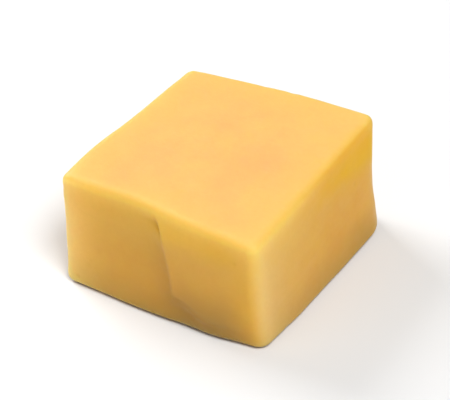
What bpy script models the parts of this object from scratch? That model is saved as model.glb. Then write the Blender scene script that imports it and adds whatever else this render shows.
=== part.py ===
"""A hand-cut cube of fudge, modelled as one closed solid in metres, +Z up.

The block lies on its flat base with the origin at the middle of its footprint. X runs along the
front, which faces -Y. The slab's own surface is the top, and the four sides are knife cuts, so
they lean, bow and taper. Part of the front stands a little proud of the rest: the cut slopes up
to it and ends in a curved crease, which turns off to the right above the foot.

The solid starts as a cube primitive, cut into a grid and rounded along its edges. Each of its
sides is then moved in or out by a short function of where a point lies on it. Those functions
take fractions of the block: u from left to right, v from front to back and t from base to top.
"""

import bisect
import math
from typing import NamedTuple

import bmesh
import bpy
from mathutils import Vector

MM = 0.001


class Ramp(NamedTuple):
    """A smooth rise from 0 at the start to 1 at the end."""

    start: float
    end: float

    def at(self, value):
        share = min(max((value - self.start) / (self.end - self.start), 0.0), 1.0)
        return share * share * (3.0 - 2.0 * share)


class Bell(NamedTuple):
    """A smooth swelling, by its height, the place of its middle, and its spread to either side."""

    height: float
    middle: float
    spread: float

    def at(self, value):
        return self.height * math.exp(-(((value - self.middle) / self.spread) ** 2))


class Corners(NamedTuple):
    """How far a side's four corners stand out: at its foot and its top, from its start to its end."""

    foot_start: float
    foot_end: float
    top_start: float
    top_end: float

    def at(self, along, t):
        foot = mix(self.foot_start, self.foot_end, along)
        top = mix(self.top_start, self.top_end, along)
        return mix(foot, top, t)


# The block between its mean sides.
WIDTH = 22.0 * MM
DEPTH = 21.5 * MM
HEIGHT = 11.45 * MM

# Edge rounding. A radius in plan rounds the upright edges, and with one in height it also
# rounds the level ones: softest up the uprights, sharper where the knife came in and went out.
PLAN_RADIUS_TOP = 0.9 * MM
PLAN_RADIUS_WAIST = 1.3 * MM
PLAN_RADIUS_BASE = 1.1 * MM
PLAN_RADIUS_TRIMMED = 3.3 * MM
HEIGHT_RADIUS_TOP = 0.7 * MM
HEIGHT_RADIUS_BASE = 0.6 * MM

# The back right corner is trimmed off towards its foot. Places here are the unit cube's.
ABOVE_WAIST = Ramp(0.0, 1.0)
NEAR_BASE = Ramp(-0.4, -1.0)
NEAR_CORNER = Ramp(0.2, 1.0)
BELOW_TOP = Ramp(1.1, -0.3)

# The left side swings in towards the back, and bellies out above its foot near the front.
LEFT_CORNERS = Corners(0.35 * MM, -0.2 * MM, 0.25 * MM, -0.2 * MM)
LEFT_BELLY = Bell(0.4 * MM, 0.27, 0.16)

# The right side stands on a straight foot, its top leans in, and its front end is blunt.
RIGHT_CORNERS = Corners(0.3 * MM, 0.3 * MM, -0.45 * MM, -1.5 * MM)
RIGHT_BLUNT = 0.3 * MM
RIGHT_BLUNT_ALONG = Ramp(0.3, 0.0)
RIGHT_BLUNT_UP = Ramp(0.75, 0.25)

# The front leans back, is hollow at its upper left, and is undercut and turns away on its right.
FRONT_CORNERS = Corners(1.2 * MM, 1.45 * MM, -0.35 * MM, 0.0 * MM)
FRONT_HOLLOW = Bell(0.55 * MM, 0.38, 0.24)
FRONT_HOLLOW_UP = Ramp(0.1, 0.9)
FRONT_UNDERCUT = 0.2 * MM
FRONT_UNDERCUT_ALONG = Ramp(0.5, 0.66)
FRONT_UNDERCUT_UP = Ramp(0.24, 0.0)
FRONT_END = 0.75 * MM
FRONT_END_ALONG = Ramp(0.7, 1.0)
FRONT_END_UP = Ramp(0.8, 0.0)

# The back is cut askew, so the block is deeper on its right, most of all at the top.
BACK_CORNERS = Corners(-0.6 * MM, -0.2 * MM, -0.75 * MM, 0.6 * MM)
BACK_SWELL = Bell(0.5 * MM, 0.6, 0.4)

# The top is faintly crowned, and it sinks a little towards the back left.
TOP_CROWN = 0.16 * MM
TOP_CROWN_SHARE = Bell(1.0, 0.5, 0.45)
TOP_SINK = 0.12 * MM

# The crease: where its foot and its top end lie, and how it bends to the left further up, how high
# its lip stands and how far out the slope up to it starts, and where the proud part fades out.
CREASE_FOOT_U = 0.593
CREASE_FOOT_T = 0.2
CREASE_TOP_T = 0.82
CREASE_BEND = 0.19
STEP_HEIGHT = 0.5 * MM
STEP_APPROACH = 1.0 * MM
STEP_FADE_ALONG = Ramp(0.95, 0.55)
STEP_FADE_UP = Ramp(0.95, 0.78)

# The proud part's lower rim, which turns off from the crease's foot and sinks to the right.
RIM_T = 0.13
RIM_RISE = 0.13
RIM_RISE_ALONG = Ramp(0.78, 0.6)
RIM_SOFTNESS = Ramp(-0.07, 0.07)

# The grid: cells along each rounded zone, then along the flat between two of them.
ROUND_ZONE = 0.14
ROUND_CELLS = 4
FLAT_CELLS_X = 22
FLAT_CELLS_Y = 16
FLAT_CELLS_Z = 14

# The grid lines that follow the crease, as shares of its approach, and their slide's margin.
CREASE_LINES = (-2.2, -1.2, -0.6, -0.2, 0.0, 0.3, 0.9)
FOLLOW_MARGIN = 0.08

FUDGE_COLOR = (0.80, 0.46, 0.13, 1.0)
FUDGE_ROUGHNESS = 0.5


def mix(low, high, share):
    """The value a share of the way from low to high."""
    return low + (high - low) * share


def crease_u(t):
    """Where the crease crosses the front at height t."""
    up = min(max(t, CREASE_FOOT_T), CREASE_TOP_T) - CREASE_FOOT_T
    return CREASE_FOOT_U - CREASE_BEND * up**2


def crease_step(u, t):
    """How far the front stands proud: a slope rises to the crease's lip and stays up past it."""
    past_crease = (u - crease_u(t)) * WIDTH
    rise = math.exp(min(past_crease, 0.0) / STEP_APPROACH)
    rim_t = RIM_T + RIM_RISE * RIM_RISE_ALONG.at(u)
    above_rim = RIM_SOFTNESS.at(t - rim_t)
    return STEP_HEIGHT * rise * above_rim * STEP_FADE_ALONG.at(u) * STEP_FADE_UP.at(t)


def left_offset(v, t):
    """How far the left side is moved out."""
    return LEFT_CORNERS.at(v, t) + LEFT_BELLY.at(v) * t


def right_offset(v, t):
    """How far the right side is moved out."""
    blunt = RIGHT_BLUNT * RIGHT_BLUNT_ALONG.at(v) * RIGHT_BLUNT_UP.at(t)
    return RIGHT_CORNERS.at(v, t) - blunt


def front_offset(u, t):
    """How far the front is moved out."""
    hollow = FRONT_HOLLOW.at(u) * FRONT_HOLLOW_UP.at(t)
    undercut = FRONT_UNDERCUT * FRONT_UNDERCUT_ALONG.at(u) * FRONT_UNDERCUT_UP.at(t)
    end = FRONT_END * FRONT_END_ALONG.at(u) * FRONT_END_UP.at(t)
    return FRONT_CORNERS.at(u, t) + crease_step(u, t) - hollow - undercut - end


def back_offset(u, t):
    """How far the back is moved out."""
    return BACK_CORNERS.at(u, t) + BACK_SWELL.at(u) * t


def top_offset(u, v):
    """How far the top is moved up."""
    crown = TOP_CROWN * TOP_CROWN_SHARE.at(u) * TOP_CROWN_SHARE.at(v)
    return crown - TOP_SINK * (1.0 - u) * v


def edge_radii(place):
    """The rounding radii in plan and in height, larger in plan at the trimmed lower corner."""
    x, y, z = place
    if z > 0.0:
        plan = mix(PLAN_RADIUS_WAIST, PLAN_RADIUS_TOP, ABOVE_WAIST.at(z))
        height = HEIGHT_RADIUS_TOP
    else:
        plan = mix(PLAN_RADIUS_WAIST, PLAN_RADIUS_BASE, NEAR_BASE.at(z))
        height = HEIGHT_RADIUS_BASE
    trim = NEAR_CORNER.at(x) * NEAR_CORNER.at(y) * BELOW_TOP.at(z)
    plan = mix(plan, PLAN_RADIUS_TRIMMED, trim)
    return plan, plan, height


def rounded(place):
    """Moves a point of the unit cube's surface to the rounded block, before its sides are shaped."""
    flat_end = 1.0 - ROUND_ZONE
    core = Vector()
    outward = Vector()
    radii = edge_radii(place)
    for axis, size in enumerate((WIDTH, DEPTH, HEIGHT)):
        share = abs(place[axis])
        past_flat = max(share - flat_end, 0.0) / ROUND_ZONE
        core[axis] = math.copysign(min(share / flat_end, 1.0) * (size / 2.0 - radii[axis]), place[axis])
        outward[axis] = math.copysign(math.tan(past_flat * math.pi / 4.0), place[axis])
    outward.normalize()
    return core + outward * Vector(radii)


def fractions(point):
    """Where a point of the rounded block lies, as fractions of its width, depth and height."""
    return point.x / WIDTH + 0.5, point.y / DEPTH + 0.5, point.z / HEIGHT + 0.5


def following_crease(point):
    """Slides a point of the front along X, so that the grid line at the crease's foot runs up it."""
    u, v, t = fractions(point)
    end = FOLLOW_MARGIN if u < CREASE_FOOT_U else 1.0 - FOLLOW_MARGIN
    slide = (crease_u(t) - CREASE_FOOT_U) * Ramp(end, CREASE_FOOT_U).at(u) * (1.0 - v)
    return point + Vector((slide * WIDTH, 0.0, 0.0))


def shaped(point):
    """Moves each side of the rounded block in or out, and stands it on its base."""
    u, v, t = fractions(point)
    return Vector(
        (
            point.x + mix(-left_offset(v, t), right_offset(v, t), u),
            point.y + mix(-front_offset(u, t), back_offset(u, t), v),
            t * (HEIGHT + top_offset(u, v)),
        )
    )


def grid_lines(flat_cells):
    """Where the grid cuts the unit cube along one axis."""
    flat_end = 1.0 - ROUND_ZONE
    lines = [mix(-flat_end, flat_end, cell / flat_cells) for cell in range(flat_cells + 1)]
    for cell in range(1, ROUND_CELLS):
        line = flat_end + ROUND_ZONE * cell / ROUND_CELLS
        lines += [-line, line]
    return sorted(lines)


def unit_place(u):
    """The unit cube's coordinate of a fraction of the width that lies between the rounded ends."""
    flat_start = PLAN_RADIUS_WAIST / WIDTH
    return mix(-1.0, 1.0, (u - flat_start) / (1.0 - 2.0 * flat_start)) * (1.0 - ROUND_ZONE)


def cut_grid(mesh, axis, lines):
    """Cuts the cube's faces by a plane across an axis at each line."""
    for line in lines:
        point = Vector()
        normal = Vector()
        point[axis] = line
        normal[axis] = 1.0
        geometry = [*mesh.verts, *mesh.edges, *mesh.faces]
        bmesh.ops.bisect_plane(mesh, geom=geometry, plane_co=point, plane_no=normal)


def crease_lines():
    """Grid lines along the slope that leads up to the crease's lip, at the lip, and past it."""
    return [unit_place(CREASE_FOOT_U + line * STEP_APPROACH / WIDTH) for line in CREASE_LINES]


def lines_along_width():
    """The even lines, without those that crowd the crease, and the crease's own lines."""
    crease = crease_lines()
    gap = ROUND_ZONE / ROUND_CELLS
    even = [x for x in grid_lines(FLAT_CELLS_X) if x < crease[0] - gap or x > crease[-1] + gap]
    for line in crease:
        bisect.insort(even, line)
    return even


def centre_on_base(mesh):
    """Puts the origin at the middle of the footprint."""
    for axis in (0, 1):
        values = [vertex.co[axis] for vertex in mesh.verts]
        middle = (min(values) + max(values)) / 2.0
        for vertex in mesh.verts:
            vertex.co[axis] -= middle


def fudge_material():
    """Pale caramel, soft and slightly waxy."""
    material = bpy.data.materials.new("fudge")
    material.use_nodes = True
    shader = material.node_tree.nodes["Principled BSDF"]
    shader.inputs["Base Color"].default_value = FUDGE_COLOR
    shader.inputs["Roughness"].default_value = FUDGE_ROUGHNESS
    shader.inputs["Metallic"].default_value = 0.0
    return material


def fudge_block():
    """The block's mesh."""
    mesh = bmesh.new()
    bmesh.ops.create_cube(mesh, size=2.0)
    cut_grid(mesh, 0, lines_along_width())
    cut_grid(mesh, 1, grid_lines(FLAT_CELLS_Y))
    cut_grid(mesh, 2, grid_lines(FLAT_CELLS_Z))
    for vertex in mesh.verts:
        vertex.co = shaped(following_crease(rounded(vertex.co)))
    centre_on_base(mesh)
    bmesh.ops.recalc_face_normals(mesh, faces=mesh.faces)
    block = bpy.data.meshes.new("fudge_cube")
    mesh.to_mesh(block)
    mesh.free()
    return block


def clear_scene():
    """Removes whatever the scene holds."""
    for item in list(bpy.data.objects):
        bpy.data.objects.remove(item, do_unlink=True)


def main():
    clear_scene()
    collection = bpy.data.collections.new("fudge_cube")
    bpy.context.scene.collection.children.link(collection)
    cube = bpy.data.objects.new("fudge_cube", fudge_block())
    cube.data.materials.append(fudge_material())
    cube.data.shade_smooth()
    collection.objects.link(cube)


main()
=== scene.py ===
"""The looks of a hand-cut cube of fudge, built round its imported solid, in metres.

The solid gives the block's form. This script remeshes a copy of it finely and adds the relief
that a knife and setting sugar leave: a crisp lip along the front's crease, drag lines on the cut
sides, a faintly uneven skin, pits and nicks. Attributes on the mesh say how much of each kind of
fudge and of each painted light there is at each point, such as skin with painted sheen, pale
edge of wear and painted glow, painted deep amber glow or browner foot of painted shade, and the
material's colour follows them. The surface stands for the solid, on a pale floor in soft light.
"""
import math

import bpy
import numpy as np
from mathutils import Matrix, Vector, noise


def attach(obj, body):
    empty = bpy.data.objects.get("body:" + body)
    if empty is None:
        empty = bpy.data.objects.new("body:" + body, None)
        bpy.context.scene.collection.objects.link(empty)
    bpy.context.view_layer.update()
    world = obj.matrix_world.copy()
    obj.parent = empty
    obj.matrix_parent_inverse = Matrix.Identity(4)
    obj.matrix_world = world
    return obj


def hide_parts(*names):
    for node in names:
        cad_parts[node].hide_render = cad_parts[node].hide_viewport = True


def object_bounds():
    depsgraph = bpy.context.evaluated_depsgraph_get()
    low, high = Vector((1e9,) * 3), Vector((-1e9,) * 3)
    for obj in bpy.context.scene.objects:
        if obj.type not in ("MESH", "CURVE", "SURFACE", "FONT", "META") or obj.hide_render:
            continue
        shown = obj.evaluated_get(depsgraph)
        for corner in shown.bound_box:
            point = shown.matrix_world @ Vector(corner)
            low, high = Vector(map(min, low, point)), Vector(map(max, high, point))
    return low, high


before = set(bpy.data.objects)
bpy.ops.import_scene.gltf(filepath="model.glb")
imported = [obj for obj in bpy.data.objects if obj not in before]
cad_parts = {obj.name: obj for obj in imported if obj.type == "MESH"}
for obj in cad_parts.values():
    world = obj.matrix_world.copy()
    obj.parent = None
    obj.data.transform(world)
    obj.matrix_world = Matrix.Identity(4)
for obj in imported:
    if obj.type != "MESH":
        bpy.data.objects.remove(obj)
cad_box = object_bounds()

MM = 0.001
NODE = "fudge_cube"
FRONT = (0.0, -1.0, 0.0)
RIGHT = (1.0, 0.0, 0.0)
BACK = (0.0, 1.0, 0.0)
LEFT = (-1.0, 0.0, 0.0)

# The view: round the block from straight ahead of its front, above the horizon, and the tilt.
CAMERA_AZIMUTH = math.radians(37.8)
CAMERA_ELEVATION = math.radians(37.8)
CAMERA_ROLL = math.radians(5.9)
CAMERA_DISTANCE = 178.0 * MM
LENS = 152.0
SENSOR_WIDTH = 36.0
CLIP = (0.01, 10.0)

# The surface: an even grid, smoothed until the solid's facets are gone, and flat below a height.
WELD_DISTANCE = 0.001 * MM
GRID_SPACING = 0.155 * MM
SMOOTH_ROUNDS = 12
SMOOTH_FACTOR = 0.5
BASE_FLAT = 0.06 * MM

# How much of a normal lies in a side's direction where the side starts, and where it is in full.
FACING = (0.55, 0.85)

# Keeps the noise of one seed apart from that of the next.
SEED_STEP = 17.3

# The crease down the front, in shares of the box: its foot, its top end, how it bends to the left
# further up, and the proud part's lower rim, which turns off at the foot and sinks to the right.
CREASE_FOOT_U = 0.585
CREASE_FOOT_T = 0.2
CREASE_TOP_T = 0.82
CREASE_BEND = 0.17
CREASE_HOOK = 0.35
RIM_T = 0.15
RIM_RISE = 0.15
RIM_RISE_ALONG = (0.80, 0.60)
CREASE_BLEND = 0.18 * MM

# The lip itself: how far it stands out and falls away to its right, how far the cut drops to its
# left, and half the width of the step between them. It is weaker along the rim, once the lip
# lies further off than the rim by a turn. Pairs are shares of the box where it starts to show
# and where it is in full: up from the base, down from the top and leftwards from the right.
LIP_RISE = 0.05 * MM
LIP_FALL = 1.6 * MM
LIP_DROP = 0.10 * MM
LIP_REACH = 1.4 * MM
LIP_HALF_WIDTH = 0.33 * MM
RIM_STRENGTH = 0.4
RIM_TURN = 1.0 * MM
LIP_BASE_T = (0.03, 0.12)
LIP_TOP_T = (0.90, 0.85)
LIP_END_U = (0.76, 0.62)

# The wedge pressed in beside the lip's top end: its height, half height, width and depth, and
# how softly it ends at the lip.
WEDGE_T = 0.845
WEDGE_HALF_HEIGHT = 0.65 * MM
WEDGE_WIDTH = 0.7 * MM
WEDGE_DEPTH = 0.2 * MM
WEDGE_BORDER = 0.1 * MM

# Unevenness all over: how high and how wide the swells are.
SWELLS = ((0.055 * MM, 6.0 * MM), (0.018 * MM, 2.1 * MM))

# Knife drag on the cut sides: the lines' height, spacing and length, and their slant on the
# front, the right, the back and the left.
DRAG_LINES = ((0.022 * MM, 1.5 * MM, 9.0 * MM), (0.009 * MM, 0.55 * MM, 6.0 * MM))
DRAG_SLANTS = (-0.16, 0.12, 0.1, -0.07)

# Pits where air or a crumb came out, and nicks along the edges: number, radius and depth. They
# stay off the base. Pits lie on flat parts, and few lie near the top. Nicks lie on sharp edges.
PIT_COUNT = 10
PIT_RADIUS = (0.3 * MM, 0.8 * MM)
PIT_DEPTH = (0.012 * MM, 0.035 * MM)
NICK_COUNT = 16
NICK_RADIUS = (0.5 * MM, 1.2 * MM)
NICK_DEPTH = (0.02 * MM, 0.06 * MM)
MARK_SEED = 11
MARKS_OFF_BASE_T = (0.02, 0.1)
FEWER_PITS_T = (0.9, 0.7)
PITS_ON_TOP = 0.15
PITS_BELOW_EDGE = 0.5
NICKS_ABOVE_EDGE = 0.75

# How often the surface is averaged round each point to find edges and hollows, and how deep a
# full hollow is.
EDGE_ROUNDS = 200
HOLLOW_ROUNDS = 10
HOLLOW_DEPTH = 0.03 * MM

# The kinds of fudge, with the painted glow and shade laid over them. In what follows, a pair of
# shares is where a kind starts and where it is in full: T counts up the box, U from left to right,
# V from front to back, and UP is the upward part of the surface's normal. A width or reach is how
# far a kind spreads before it fades.
SKIN_UP = (0.72, 0.99)
SKIN_ROUNDS = 12
CUT_UP = (0.97, 0.75)

# How much of a side's level direction lies ahead or to the right, and how small a level part of
# the normal still has a direction.
TOWARDS = (0.3, 0.9)
LEAST_LEVEL = 0.001

# Slow wandering that makes the borders between kinds uneven.
WANDER_SPAN = 3.0 * MM
WANDER_SEED = 5

# The shaded slope left of the crease and below its rim. It is weaker in its upper part.
SLOPE_REACH = 3.2 * MM
SLOPE_BORDER = 0.12 * MM
SLOPE_TOP_T = (0.9, 0.84)
SLOPE_END_U = (0.92, 0.68)
SLOPE_FULL_T = (0.8, 0.45)
SLOPE_UPPER = 0.3

# Pale bands along the upright edges, partly wear and partly painted glow, painted light on the
# right side's front part, and painted glow at the front's left end. The first is shifted round its
# edge, less so higher up. Pairs of PALE are at the foot and top.
UPRIGHT_WIDTH = 2.0 * MM
UPRIGHT_SHIFT = 1.3 * MM
UPRIGHT_UP = (0.9, 0.6)
UPRIGHT_PALE = (0.3, 0.5)
BESIDE_WIDTH = 7.0 * MM
BESIDE_PALE = (0.4, 0.22)
LEFT_BAND_WIDTH = 1.8 * MM
LEFT_BAND_PALE = 0.45
PALE_ROUNDS = 60

# Painted glow at the front's left end, and painted golden glow just below the top edges, as of
# light that passes in through the edges. The right side has less of it further back, and there is
# less where the edge turns over to the top, though not as much less on the right.
LEFT_END_WIDTH = 3.8 * MM
GLOW_BELOW_TOP_REACH = 2.4 * MM
GLOW_BELOW_TOP_BACK_V = (0.2, 0.8)
GLOW_BELOW_TOP_UP = (0.8, 0.3)
GLOW_BELOW_TOP_LOSS = 0.45
GLOW_BELOW_TOP_LOSS_SPARED_RIGHT = 0.22

# A ring of painted amber glow, as of light passing through the fudge, along the sides' top edges
# and down the front's right end. On the right it lies higher, and reaches deeper and is far
# stronger towards the back.
RING_MIDDLE = 1.8 * MM
RING_WIDTH = 1.3 * MM
RING_RAISED_RIGHT = 0.5 * MM
RING_DEEPER = 0.25
RING_DEEPER_V = (0.55, 1.0)
RING_STRENGTH = 0.4
RING_FRONT_LOSS = 0.15
RING_FRONT_GAIN = 0.2
RING_FRONT_U = (0.6, 0.9)
RING_RIGHT_LOSS = 0.3
RING_RIGHT_GAIN = 1.15
RING_RIGHT_V = (0.3, 0.85)
RING_WANDER = 0.15
RING_BASE_T = (0.25, 0.55)
RING_END_LOWER_T = 0.4
RING_ROUNDS = 20
RING_GAIN = 1.08
NEAR_END_WIDTH = 3.5 * MM

# The skin's golden border of painted glow, from light coming in at the edges, counted inwards
# from the block's outline.
BORDER = (7.0 * MM, 1.5 * MM)
BORDER_WANDER = 1.2 * MM

# Painted shade at the sides' browner foot, where less light comes up from the floor: where it
# ends, higher right of the crease, and its strength from the left to the right. It is weaker in the
# pale bands, on the right side and at the front's right end. A narrow strip of painted contact
# shade along the base is browner everywhere else.
FOOT_TOP_T = 0.42
FOOT_FULL_T = -0.02
FOOT_RAISED = 0.24
FOOT_RAISED_U = (0.5, 0.65)
FOOT_LOWERED_U = (0.95, 0.8)
FOOT_WANDER = 0.05
FOOT_AT_LEFT = 0.2
FOOT_RIGHTWARDS = 1.2
FOOT_PALE_LOSS = 0.8
FOOT_RIGHT_LOSS = 0.75
FOOT_RIGHT_REGAIN = 0.35
FOOT_END_LOSS = 0.9
BASE_STRIP_T = (0.07, 0.0)
BASE_STRIP = 0.5

# The fudge's colours: its pale skin, paler partly as painted sheen on the top, the cut sides,
# darker partly as painted shade, and the painted shade they darken to.
SKIN_AND_SHEEN = (0.77, 0.46, 0.136, 1.0)
ROSY_SKIN_AND_SHEEN = (0.77, 0.40, 0.135, 1.0)
# Painted golden glow at the skin's border.
SKIN_EDGE_GLOW = (0.77, 0.475, 0.126, 1.0)
# Painted golden glow just below the top edges.
GLOW_BELOW_TOP = (0.80, 0.57, 0.125, 1.0)
# Painted glow at the front's left end.
LEFT_END_GLOW = (0.89, 0.56, 0.12, 1.0)
CUT_IN_SHADE = (0.69, 0.368, 0.052, 1.0)
ROSY_CUT_IN_SHADE = (0.66, 0.324, 0.051, 1.0)
# Pale edges: partly wear, partly painted glow.
EDGE_WEAR_AND_GLOW = (0.89, 0.71, 0.31, 1.0)
# Painted amber glow.
AMBER_GLOW = (0.71, 0.40, 0.01, 1.0)
# Painted shade at the foot.
FOOT_SHADE = (0.37, 0.212, 0.045, 1.0)
SHADE = (0.47, 0.22, 0.004, 1.0)

# How far the skin's border of painted glow, the pale edges of wear and painted glow, the painted
# shade of the slope and the hollows, and the grain change colour.
BORDER_TINT = 0.7
EDGE_TINT = 0.8
SLOPE_TINT = 0.45
HOLLOW_TINT = 0.18
GRAIN_TINT = 0.06

# Patterns in the material: the size and detail of the mottling, the grain and the sheen, and how
# much of the noise is spread from low to high.
MOTTLE = (4.5 * MM, 3.0)
GRAIN = (0.45 * MM, 3.0)
SHEEN = (1.6 * MM, 4.0)
NOISE_ROUGHNESS = 0.55
NOISE_SPREAD = (0.3, 0.7)

# How light meets the fudge: its sheen from glossy to dull, fine bumps, and light passing in.
ROUGHNESS = (0.38, 0.56)
BUMP_STRENGTH = 0.25
BUMP_HEIGHT = 0.03 * MM
SPECULAR = 0.2
TRANSLUCENT = 0.65
TRANSLUCENT_DEPTH = 5.0 * MM
TRANSLUCENT_COLOURS = (1.0, 0.6, 0.3)

FLOOR_SIZE = 4.0
FLOOR_COLOR = (0.76, 0.76, 0.76, 1.0)
FLOOR_ROUGHNESS = 0.9

# The square lights, all at one distance: name, azimuth and elevation in degrees, size and power.
LIGHTS = (
    ("key", 66.0, 58.0, 0.16, 1.38),
    ("rim", 255.0, 35.0, 0.20, 1.25),
    ("fill", 330.0, 35.0, 0.25, 0.12),
)
LIGHT_DISTANCE = 0.4
ROOM_COLOR = (1.0, 1.0, 1.0, 1.0)
ROOM_STRENGTH = 0.22


def even_surface():
    """A finely and evenly meshed copy of the solid, as a mesh."""
    piece = bpy.data.objects.new("raw_surface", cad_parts[NODE].data.copy())
    bpy.context.scene.collection.objects.link(piece)
    weld = piece.modifiers.new("weld", "WELD")
    weld.merge_threshold = WELD_DISTANCE
    grid = piece.modifiers.new("even_grid", "REMESH")
    grid.mode = "VOXEL"
    grid.voxel_size = GRID_SPACING
    smooth = piece.modifiers.new("smooth", "SMOOTH")
    smooth.factor = SMOOTH_FACTOR
    smooth.iterations = SMOOTH_ROUNDS
    depsgraph = bpy.context.evaluated_depsgraph_get()
    mesh = bpy.data.meshes.new_from_object(piece.evaluated_get(depsgraph))
    bpy.data.objects.remove(piece)
    return mesh


def read(items, name, size, kind):
    """One property of many mesh elements, as an array with a row for each."""
    values = np.empty(len(items) * size, dtype=kind)
    items.foreach_get(name, values)
    return values.reshape(-1, size)


def rise(start, end, values):
    """A smooth rise from 0 at start to 1 at end."""
    share = np.clip((values - start) / (end - start), 0.0, 1.0)
    return share * share * (3.0 - 2.0 * share)


class Surface:
    """A mesh's points and normals, and where each point lies as a share of the block's box."""

    def __init__(self, mesh):
        self.mesh = mesh
        self.edges = read(mesh.edges, "vertices", 2, np.int32)
        self.low, self.high = (np.array(corner) for corner in cad_box)
        self.size = self.high - self.low
        self.update()

    def update(self):
        self.places = read(self.mesh.vertices, "co", 3, np.float32).astype(float)
        self.normals = read(self.mesh.vertex_normals, "vector", 3, np.float32).astype(float)
        self.u, self.v, self.t = ((self.places - self.low) / self.size).T

    def move(self, distance):
        """Moves each point along its normal, inside the box, and flattens the base again."""
        self.places = self.places + self.normals * distance[:, None]
        self.places[:, 2][self.places[:, 2] < BASE_FLAT] = 0.0
        self.places = np.clip(self.places, self.low, self.high)
        self.mesh.vertices.foreach_set("co", self.places.astype(np.float32).ravel())
        self.mesh.update()
        self.update()

    def averaged(self, values, rounds):
        """Values at the points, averaged again and again with those at their neighbours."""
        ends = np.concatenate([self.edges[:, 0], self.edges[:, 1]])
        others = np.concatenate([self.edges[:, 1], self.edges[:, 0]])
        neighbours = np.bincount(ends, minlength=len(values))[:, None]
        for _ in range(rounds):
            sums = [np.bincount(ends, column[others], len(values)) for column in values.T]
            values = np.stack(sums, axis=1) / neighbours
        return values

    def store(self, name, values):
        """Keeps a value at each point for the material to read."""
        attribute = self.mesh.attributes.new(name, "FLOAT", "POINT")
        attribute.data.foreach_set("value", values.astype(np.float32))

    def facing(self, direction):
        """1 where the surface faces a direction, 0 where it has turned well away from it."""
        return rise(*FACING, self.normals @ np.array(direction))


def lumps(places, span, seed):
    """Smooth noise from about -1 to 1 at each place, in lumps about a span across."""
    shifted = places / span + seed * SEED_STEP
    return np.array([noise.noise(Vector(place)) for place in shifted])


def bell(distance, width):
    """1 at no distance, fading away on both sides over a width."""
    return np.exp(-((distance / width) ** 2))


def between(foot, top, surface):
    """A value that goes evenly from one at the base to another at the top."""
    return foot + (top - foot) * surface.t


def past_crease(surface):
    """How far each point of the front lies to the right of the crease, and above the rim."""
    width, _, height = surface.size
    up = np.clip(surface.t, CREASE_FOOT_T, CREASE_TOP_T) - CREASE_FOOT_T
    hook = CREASE_HOOK * np.maximum(surface.t - CREASE_TOP_T, 0.0)
    lip_u = CREASE_FOOT_U - CREASE_BEND * up**2 - hook
    rim_t = RIM_T + RIM_RISE * rise(*RIM_RISE_ALONG, surface.u)
    return (surface.u - lip_u) * width, (surface.t - rim_t) * height


def inside_proud_part(surface):
    """How far each point of the front lies inside the crease's lip and lower rim."""
    past_lip, above_rim = (share / CREASE_BLEND for share in past_crease(surface))
    return -CREASE_BLEND * np.logaddexp(-past_lip, -above_rim)


def crease(surface):
    """The crease's crisp lip, with the cut dropping away to its left and below it."""
    inside = inside_proud_part(surface)
    past_lip, _ = past_crease(surface)
    proud = LIP_RISE * np.exp(-np.maximum(inside, 0.0) / LIP_FALL)
    sunk = -LIP_DROP * np.exp(np.minimum(inside, 0.0) / LIP_REACH)
    step = rise(-LIP_HALF_WIDTH, LIP_HALF_WIDTH, inside)
    fade = rise(*LIP_TOP_T, surface.t) * rise(*LIP_BASE_T, surface.t) * rise(*LIP_END_U, surface.u)
    fade *= 1.0 - (1.0 - RIM_STRENGTH) * rise(0.0, RIM_TURN, past_lip - inside)
    return (sunk + (proud - sunk) * step) * fade * surface.facing(FRONT)


def wedge(surface):
    """Where the cut is pressed in beside the lip's top end: 1 at the lip, 0 well away from it."""
    past_lip, _ = past_crease(surface)
    beside = np.exp(np.minimum(past_lip, 0.0) / WEDGE_WIDTH)
    beside *= rise(WEDGE_BORDER, -WEDGE_BORDER, past_lip)
    up = (surface.t - WEDGE_T) * surface.size[2]
    return beside * bell(up, WEDGE_HALF_HEIGHT) * surface.facing(FRONT)


def swells(surface):
    """Faint unevenness all over."""
    return sum(
        depth * lumps(surface.places, span, seed) for seed, (depth, span) in enumerate(SWELLS)
    )


def drag_lines(surface):
    """Shallow lines that the knife drew along the cut sides, a little askew of level."""
    x, y, z = surface.places.T
    sides = ((FRONT, x), (RIGHT, y), (BACK, x), (LEFT, y))
    relief = np.zeros(len(x))
    for seed, ((direction, along), slant) in enumerate(zip(sides, DRAG_SLANTS)):
        facing = surface.facing(direction)
        chosen = facing > 0.0
        across = z[chosen] - slant * along[chosen]
        for depth, spacing, length in DRAG_LINES:
            stretched = np.stack([along[chosen] / length, across / spacing, 0.0 * across], axis=1)
            relief[chosen] += depth * facing[chosen] * lumps(stretched, 1.0, seed + spacing / MM)
    return relief


def marks(surface, count, radii, depths, likely, chance):
    """Small round hollows, scattered over the points that are likely to have them."""
    relief = np.zeros(len(likely))
    middles = chance.choice(len(likely), size=count, p=likely / likely.sum())
    for middle in middles:
        radius = chance.uniform(*radii)
        depth = chance.uniform(*depths)
        away = np.linalg.norm(surface.places - surface.places[middle], axis=1) / radius
        relief -= depth * rise(1.0, 0.0, away)
    return relief


def edge_share(surface):
    """1 along a sharp edge, and 0 where the surface stays flat for a millimetre around."""
    turned = 1.0 - np.linalg.norm(surface.averaged(surface.normals, EDGE_ROUNDS), axis=1)
    return np.clip(turned / (1.0 - math.sqrt(0.5)), 0.0, 1.0)


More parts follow.
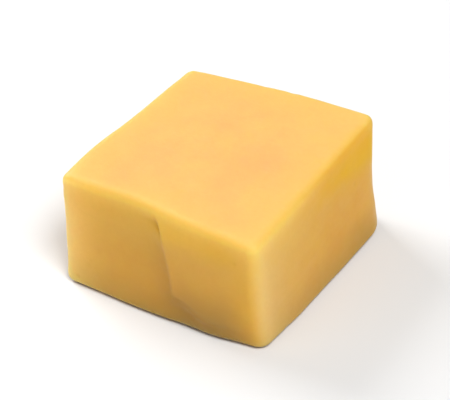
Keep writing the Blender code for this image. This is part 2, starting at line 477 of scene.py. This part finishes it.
def carve(surface):
    """Adds all the relief."""
    chance = np.random.default_rng(MARK_SEED)
    pressed = -WEDGE_DEPTH * wedge(surface)
    surface.move(crease(surface) + pressed + swells(surface) + drag_lines(surface))
    edge = edge_share(surface)
    off_base = rise(*MARKS_OFF_BASE_T, surface.t)
    pitted = off_base * (PITS_ON_TOP + rise(*FEWER_PITS_T, surface.t)) * (edge < PITS_BELOW_EDGE)
    nicked = off_base * (edge > NICKS_ABOVE_EDGE)
    pits = marks(surface, PIT_COUNT, PIT_RADIUS, PIT_DEPTH, pitted, chance)
    nicks = marks(surface, NICK_COUNT, NICK_RADIUS, NICK_DEPTH, nicked, chance)
    surface.move(pits + nicks)


def from_uprights(surface):
    """How far each point lies from the nearest upright edge, and whether on the left or right."""
    width, depth, _ = surface.size
    endwise = np.abs(surface.normals[:, 0]) > np.abs(surface.normals[:, 1])
    along = np.where(endwise, surface.v, surface.u)
    return np.minimum(along, 1.0 - along) * np.where(endwise, depth, width), endwise


def towards(surface):
    """How far each point's side looks ahead and to the right, whichever way it leans."""
    ahead, right = -surface.normals[:, 1], surface.normals[:, 0]
    level = np.maximum(np.hypot(ahead, right), LEAST_LEVEL)
    return rise(*TOWARDS, ahead / level), rise(*TOWARDS, right / level)


def near_front_end(surface):
    """1 at the front's right end, fading to its left."""
    return towards(surface)[0] * bell((1.0 - surface.u) * surface.size[0], NEAR_END_WIDTH)


def slope_share(surface):
    """The shaded slope left of the crease and below its rim, with the wedge beside the lip."""
    inside = inside_proud_part(surface)
    slope = np.exp(-np.abs(inside) / SLOPE_REACH) * rise(SLOPE_BORDER, -SLOPE_BORDER, inside)
    slope *= surface.facing(FRONT) * rise(*LIP_BASE_T, surface.t)
    slope *= SLOPE_UPPER + (1.0 - SLOPE_UPPER) * rise(*SLOPE_FULL_T, surface.t)
    slope *= rise(*SLOPE_TOP_T, surface.t) * rise(*SLOPE_END_U, surface.u)
    return slope + wedge(surface)


def pale_bands(surface):
    """The pale bands along the upright edges, partly wear and partly painted glow, and the painted
    light on the right side beside the front.
    """
    sideways, endwise = from_uprights(surface)
    shift = np.where(endwise, -UPRIGHT_SHIFT, UPRIGHT_SHIFT) * (1.0 - surface.t)
    upright = bell(np.maximum(sideways + shift, 0.0), UPRIGHT_WIDTH)
    upright *= rise(*UPRIGHT_UP, surface.normals[:, 2])
    beside = bell(surface.v * surface.size[1], BESIDE_WIDTH) * surface.facing(RIGHT)
    return surface.averaged(np.stack([upright, beside], axis=1), PALE_ROUNDS).T


def edge_wear_and_glow(surface, upright, beside):
    """How pale the edges are, partly wear and partly painted glow: the bands, and the front's left
    end.
    """
    pale = between(*UPRIGHT_PALE, surface) * upright + between(*BESIDE_PALE, surface) * beside
    left_band = bell(surface.u * surface.size[0], LEFT_BAND_WIDTH) * surface.facing(FRONT)
    return pale + LEFT_BAND_PALE * left_band


def glow_below_top_share(surface):
    """Painted golden glow just below the top edges, as of light passing in through them."""
    glow_below_top = np.exp(-(1.0 - surface.t) * surface.size[2] / GLOW_BELOW_TOP_REACH)
    glow_below_top *= 1.0 - surface.facing(RIGHT) * rise(*GLOW_BELOW_TOP_BACK_V, surface.v)
    on_side = rise(*GLOW_BELOW_TOP_UP, surface.normals[:, 2])
    loss = GLOW_BELOW_TOP_LOSS - GLOW_BELOW_TOP_LOSS_SPARED_RIGHT * towards(surface)[1]
    return glow_below_top * (1.0 - loss * (1.0 - on_side))


def amber_glow_share(surface, cut, wander):
    """A ring of painted amber glow along the top edges and down the front's right end."""
    width, _, height = surface.size
    front, right = surface.facing(FRONT), surface.facing(RIGHT)
    below_top = (1.0 - surface.t) * height
    beside_end = np.where(front > 0.5, (1.0 - surface.u) * width, below_top)
    inward = np.minimum(below_top + RING_RAISED_RIGHT * right, beside_end)
    inward *= 1.0 - RING_DEEPER * right * rise(*RING_DEEPER_V, surface.v)
    strength = RING_STRENGTH
    strength += front * (RING_FRONT_GAIN * rise(*RING_FRONT_U, surface.u) - RING_FRONT_LOSS)
    strength += right * (RING_RIGHT_GAIN * rise(*RING_RIGHT_V, surface.v) - RING_RIGHT_LOSS)
    lowered = surface.t + RING_END_LOWER_T * near_front_end(surface)
    amber_glow = bell(inward - RING_MIDDLE, RING_WIDTH) * cut * (strength + RING_WANDER * wander)
    amber_glow *= rise(*RING_BASE_T, lowered)
    return RING_GAIN * surface.averaged(amber_glow[:, None], RING_ROUNDS)[:, 0]


def skin_edge_glow_share(surface, wander):
    """The skin's golden border of painted glow, wavy along its inner side."""
    width, depth, _ = surface.size
    near_border = np.minimum(surface.u, 1.0 - surface.u) * width
    near_border = np.minimum(near_border, np.minimum(surface.v, 1.0 - surface.v) * depth)
    return rise(*BORDER, near_border + BORDER_WANDER * wander)


def foot_shade_share(surface, cut, upright, wander):
    """Painted shade at the browner foot of the sides, with the strip of painted contact shade along
    the base.
    """
    front, near_end = surface.facing(FRONT), near_front_end(surface)
    raised = rise(*FOOT_RAISED_U, surface.u) * rise(*FOOT_LOWERED_U, surface.u)
    foot_top = FOOT_TOP_T + FOOT_RAISED * front * raised
    foot = rise(foot_top, FOOT_FULL_T, surface.t + FOOT_WANDER * wander) * cut
    foot *= FOOT_AT_LEFT + FOOT_RIGHTWARDS * rise(0.0, 1.0, surface.u)
    foot *= 1.0 - FOOT_PALE_LOSS * upright
    foot *= 1.0 - towards(surface)[1] * (FOOT_RIGHT_LOSS - FOOT_RIGHT_REGAIN * surface.v)
    foot *= 1.0 - FOOT_END_LOSS * near_end
    return np.maximum(foot, BASE_STRIP * rise(*BASE_STRIP_T, surface.t) * (1.0 - near_end))


def hollow_share(surface):
    """How far each point lies in a hollow, or with a minus sign on a bump."""
    average = surface.averaged(surface.places, HOLLOW_ROUNDS)
    return np.einsum("ij,ij->i", average - surface.places, surface.normals) / HOLLOW_DEPTH


def colour_shares(surface):
    """Stores how much of each kind of fudge, and of each painted glow and shade, there is at each
    point.
    """
    wander = lumps(surface.places, WANDER_SPAN, WANDER_SEED)
    # Where the cut sides are, darker partly as painted shade, and where the skin is, paler partly
    # as painted sheen.
    cut = rise(*CUT_UP, surface.normals[:, 2])
    skin = rise(*SKIN_UP, surface.normals[:, 2])[:, None]
    upright, beside = pale_bands(surface)
    # Painted glow at the front's left end.
    left_end_glow = bell(surface.u * surface.size[0], LEFT_END_WIDTH) * surface.facing(FRONT)
    surface.store("skin", surface.averaged(skin, SKIN_ROUNDS)[:, 0])
    surface.store("border", skin_edge_glow_share(surface, wander))
    surface.store("edge", edge_wear_and_glow(surface, upright, beside))
    surface.store("glow_below_top", glow_below_top_share(surface))
    surface.store("left_end_glow", left_end_glow)
    surface.store("foot", np.clip(foot_shade_share(surface, cut, upright, wander), 0.0, 1.0))
    surface.store("amber_glow", np.clip(amber_glow_share(surface, cut, wander), 0.0, 1.0))
    surface.store("hollow", np.clip(hollow_share(surface), -1.0, 1.0))
    surface.store("slope", slope_share(surface))


def add_node(tree, kind, inputs, **settings):
    """A shader node with its settings, and each input given a value or linked to an output."""
    made = tree.nodes.new(kind)
    for name, value in settings.items():
        setattr(made, name, value)
    for socket, value in inputs.items():
        if isinstance(value, bpy.types.NodeSocket):
            tree.links.new(value, made.inputs[socket])
        else:
            made.inputs[socket].default_value = value
    return made


def mixed(tree, share, first, second):
    """A colour that goes from the first to the second with a share."""
    inputs = {0: share, 6: first, 7: second}
    return add_node(tree, "ShaderNodeMix", inputs, data_type="RGBA").outputs[2]


def pattern(tree, place, size, detail, low=0.0, high=1.0):
    """Noise in lumps of a size, spread to run from low to high."""
    inputs = {"Vector": place, "Scale": 1.0 / size, "Detail": detail, "Roughness": NOISE_ROUGHNESS}
    lump = add_node(tree, "ShaderNodeTexNoise", inputs).outputs["Fac"]
    start, end = NOISE_SPREAD
    ends = {"Value": lump, "From Min": start, "From Max": end, "To Min": low, "To Max": high}
    return add_node(tree, "ShaderNodeMapRange", ends).outputs["Result"]


def scaled(tree, value, factor):
    """A value times a factor, kept between 0 and 1."""
    inputs = {0: value, 1: factor}
    settings = {"operation": "MULTIPLY", "use_clamp": True}
    return add_node(tree, "ShaderNodeMath", inputs, **settings).outputs[0]


def fudge_material():
    """Fudge: waxy and a little translucent, mottled, with painted glow and sheen, paler at its
    edges from wear and painted glow, and browner at its foot from painted shade.
    """
    material = bpy.data.materials.new("fudge")
    material.use_nodes = True
    tree = material.node_tree
    shader = tree.nodes["Principled BSDF"]
    place = add_node(tree, "ShaderNodeTexCoord", {}).outputs["Object"]

    def share(name):
        return add_node(tree, "ShaderNodeAttribute", {}, attribute_name=name).outputs["Fac"]

    mottle = pattern(tree, place, *MOTTLE)
    grain = pattern(tree, place, *GRAIN)
    # Skin colour, partly painted sheen, and cut-side colour, partly painted shade, both mottled.
    skin = mixed(tree, mottle, SKIN_AND_SHEEN, ROSY_SKIN_AND_SHEEN)
    cut = mixed(tree, mottle, CUT_IN_SHADE, ROSY_CUT_IN_SHADE)
    # Painted golden glow along the skin's border.
    skin = mixed(tree, scaled(tree, share("border"), BORDER_TINT), skin, SKIN_EDGE_GLOW)
    # Painted golden glow below the top edges.
    cut = mixed(tree, share("glow_below_top"), cut, GLOW_BELOW_TOP)
    # Painted glow at the front's left end.
    cut = mixed(tree, share("left_end_glow"), cut, LEFT_END_GLOW)
    color = mixed(tree, share("skin"), cut, skin)
    # Pale edges: partly wear, partly painted glow.
    color = mixed(tree, scaled(tree, share("edge"), EDGE_TINT), color, EDGE_WEAR_AND_GLOW)
    # Painted amber glow.
    color = mixed(tree, share("amber_glow"), color, AMBER_GLOW)
    # Painted shade at the foot.
    color = mixed(tree, share("foot"), color, FOOT_SHADE)
    color = mixed(tree, scaled(tree, share("slope"), SLOPE_TINT), color, SHADE)
    # Painted shade in the hollows.
    color = mixed(tree, scaled(tree, share("hollow"), HOLLOW_TINT), color, SHADE)
    color = mixed(tree, scaled(tree, grain, GRAIN_TINT), color, SHADE)
    tree.links.new(color, shader.inputs["Base Color"])
    tree.links.new(pattern(tree, place, *SHEEN, *ROUGHNESS), shader.inputs["Roughness"])
    bumps = {"Height": grain, "Strength": BUMP_STRENGTH, "Distance": BUMP_HEIGHT}
    bump = add_node(tree, "ShaderNodeBump", bumps)
    tree.links.new(bump.outputs["Normal"], shader.inputs["Normal"])
    shader.inputs["Specular IOR Level"].default_value = SPECULAR
    shader.inputs["Subsurface Weight"].default_value = TRANSLUCENT
    shader.inputs["Subsurface Scale"].default_value = TRANSLUCENT_DEPTH
    shader.inputs["Subsurface Radius"].default_value = TRANSLUCENT_COLOURS
    return material


def make_fudge():
    """The block's surface, with its relief and material."""
    mesh = even_surface()
    surface = Surface(mesh)
    carve(surface)
    colour_shares(surface)
    mesh.materials.clear()
    mesh.materials.append(fudge_material())
    mesh.shade_smooth()
    fudge = bpy.data.objects.new("fudge_cube_surface", mesh)
    bpy.context.scene.collection.objects.link(fudge)
    print("fudge triangles", sum(len(p.vertices) - 2 for p in mesh.polygons))
    return fudge


def make_floor():
    """A wide pale floor under the block."""
    bpy.ops.mesh.primitive_plane_add(size=FLOOR_SIZE)
    floor = bpy.context.object
    floor.name = "floor"
    material = bpy.data.materials.new("floor")
    material.use_nodes = True
    shader = material.node_tree.nodes["Principled BSDF"]
    shader.inputs["Base Color"].default_value = FLOOR_COLOR
    shader.inputs["Roughness"].default_value = FLOOR_ROUGHNESS
    floor.data.materials.append(material)
    return floor


def look_from(azimuth, elevation):
    """The direction from the block to a viewer or a light at an azimuth and elevation."""
    level = math.cos(elevation)
    return Vector((math.sin(azimuth) * level, -math.cos(azimuth) * level, math.sin(elevation)))


def soft_box(name, azimuth, elevation, size, power):
    """A square light that looks at the block."""
    light = bpy.data.lights.new(name, "AREA")
    light.shape = "SQUARE"
    light.size = size
    light.energy = power
    lamp = bpy.data.objects.new(name, light)
    back = look_from(math.radians(azimuth), math.radians(elevation))
    lamp.location = back * LIGHT_DISTANCE
    lamp.rotation_euler = back.to_track_quat("Z", "Y").to_euler()
    bpy.context.scene.collection.objects.link(lamp)


def make_light():
    """Soft light from the right and from the left, a weak one ahead, and a pale room."""
    scene = bpy.context.scene
    world = bpy.data.worlds.new("studio")
    world.use_nodes = True
    background = world.node_tree.nodes["Background"]
    background.inputs["Color"].default_value = ROOM_COLOR
    background.inputs["Strength"].default_value = ROOM_STRENGTH
    scene.world = world
    for light in LIGHTS:
        soft_box(*light)
    scene.view_settings.view_transform = "Standard"


def make_camera(target):
    """A long lens that looks at the block's middle from the photograph's side, tilted with it."""
    data = bpy.data.cameras.new("camera")
    data.lens = LENS
    data.sensor_width = SENSOR_WIDTH
    data.clip_start, data.clip_end = CLIP
    camera = bpy.data.objects.new("camera", data)
    back = look_from(CAMERA_AZIMUTH, CAMERA_ELEVATION)
    turn = (-back).to_track_quat("-Z", "Y") @ Matrix.Rotation(-CAMERA_ROLL, 3, "Z").to_quaternion()
    camera.rotation_mode = "QUATERNION"
    camera.rotation_quaternion = turn
    camera.location = target + back * CAMERA_DISTANCE
    bpy.context.scene.collection.objects.link(camera)
    bpy.context.scene.camera = camera


low, high = cad_box
make_camera((low + high) / 2.0)
fudge = make_fudge()
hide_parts(NODE)
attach(fudge, "root")
make_floor()
make_light()
